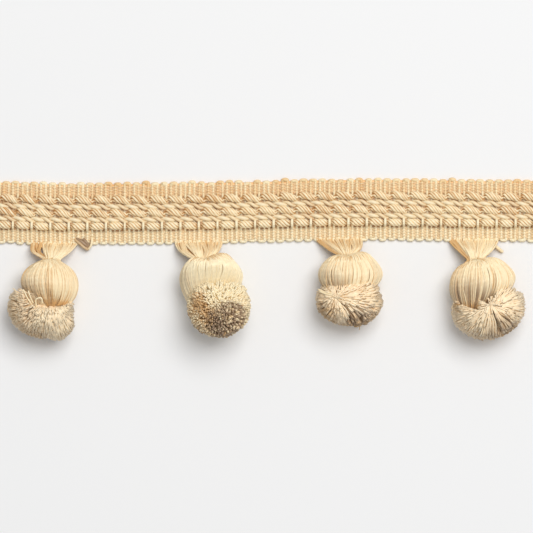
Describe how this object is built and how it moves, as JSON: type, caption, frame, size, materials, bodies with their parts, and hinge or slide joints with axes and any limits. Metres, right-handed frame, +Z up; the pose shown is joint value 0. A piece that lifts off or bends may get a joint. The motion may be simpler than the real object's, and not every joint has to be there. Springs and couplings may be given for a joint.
{
  "type": "pompom fringe trim, a cut length of ribbed braid heading with hanging tassel pompoms",
  "caption": "Flat ribbed braid heading with picot edges and raised twisted cords along its face; ball pompoms with flared cut skirts hang from yarn fans at the lower edge.",
  "frame": {"origin": "middle of the heading's flat back, half way along the cut length", "axes": "+X along the heading, +Y from the pompoms to the heading's plain edge, +Z up from the surface through the heading to its face"},
  "size_m": [0.1764, 0.0516, 0.022],
  "materials": {
    "heading_yarn": "matt spun yarn, woven as a ribbed braid",
    "cord_yarn": "soft low sheen, plied yarn",
    "pompom_yarn": "soft low sheen, combed loose yarn"
  },
  "bodies": {
    "root": {"heading": "heading_yarn", "cord_upper": "cord_yarn", "strand_upper": "cord_yarn", "cord_middle": "cord_yarn", "strand_lower": "cord_yarn", "cord_lower": "cord_yarn", "pompom_1": "pompom_yarn", "pompom_2": "pompom_yarn", "pompom_3": "pompom_yarn", "pompom_4": "pompom_yarn"}
  },
  "joints": []
}
